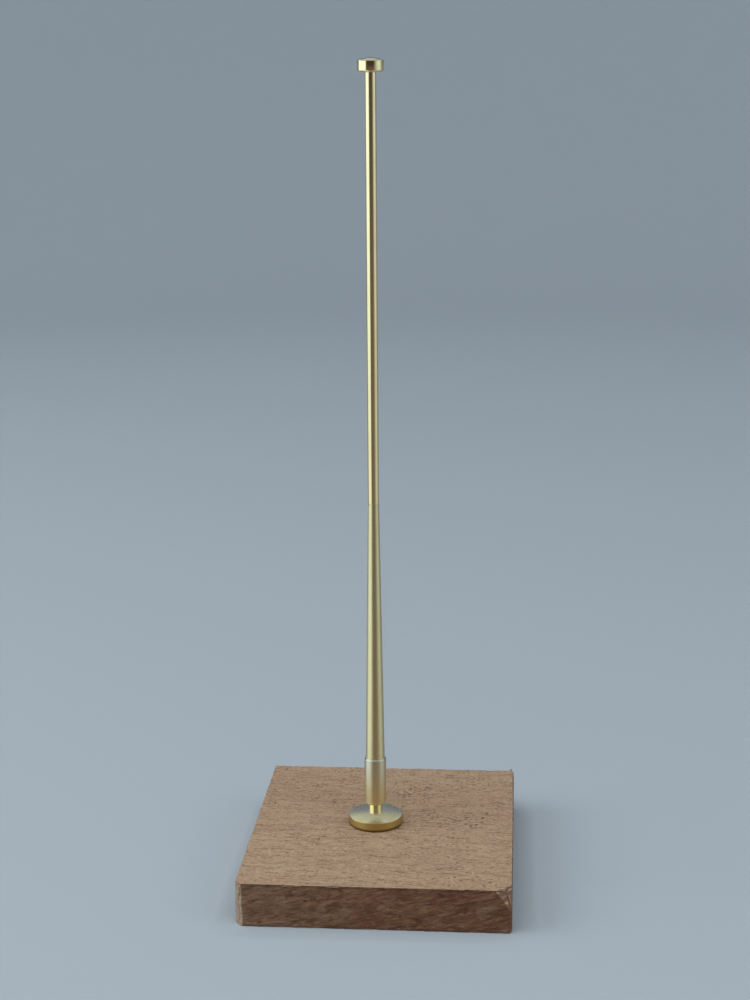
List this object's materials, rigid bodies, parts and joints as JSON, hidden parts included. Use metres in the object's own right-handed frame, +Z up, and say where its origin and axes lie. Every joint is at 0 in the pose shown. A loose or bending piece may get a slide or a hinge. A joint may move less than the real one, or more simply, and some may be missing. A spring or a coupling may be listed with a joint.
{
  "type": "model flagstaff stand",
  "caption": "Slim tapered metal flagstaff with a button truck, plugged into a swivelling tubular socket with a domed flange on a rough-sawn wooden base.",
  "frame": {"origin": "centre of the wooden base's underside", "axes": "+Z up along the staff, X along the base's grain and short side, -Y towards the front"},
  "size_m": [0.0762, 0.0888, 0.2326],
  "materials": {
    "base_wood": "rough-sawn, unfinished pinkish hardwood with open pores",
    "satin_brass": "satin, as turned",
    "bright_brass": "bright, drawn or polished"
  },
  "bodies": {
    "base": {"wooden_base": "base_wood", "domed_flange": "satin_brass", "flat_washer": "satin_brass"},
    "socket": {"socket_stem": "bright_brass", "socket_tube": "satin_brass", "lock_nut": "satin_brass"},
    "staff": {"tapered_staff": "satin_brass", "staff_rod": "bright_brass"},
    "truck": {"truck": "bright_brass"}
  },
  "joints": [
    {"name": "socket_swivel", "type": "hinge", "parent": "base", "child": "socket", "pos_m": [-0.0025, 0.0006, 0.0127], "axis": [0, 0, 1], "continuous": true},
    {"name": "staff_lift", "type": "slide", "parent": "socket", "child": "staff", "axis": [0, 0, 1], "range_m": [0, 0.02]},
    {"name": "truck_lift", "type": "slide", "parent": "staff", "child": "truck", "axis": [0, 0, 1], "range_m": [0, 0.006]}
  ]
}
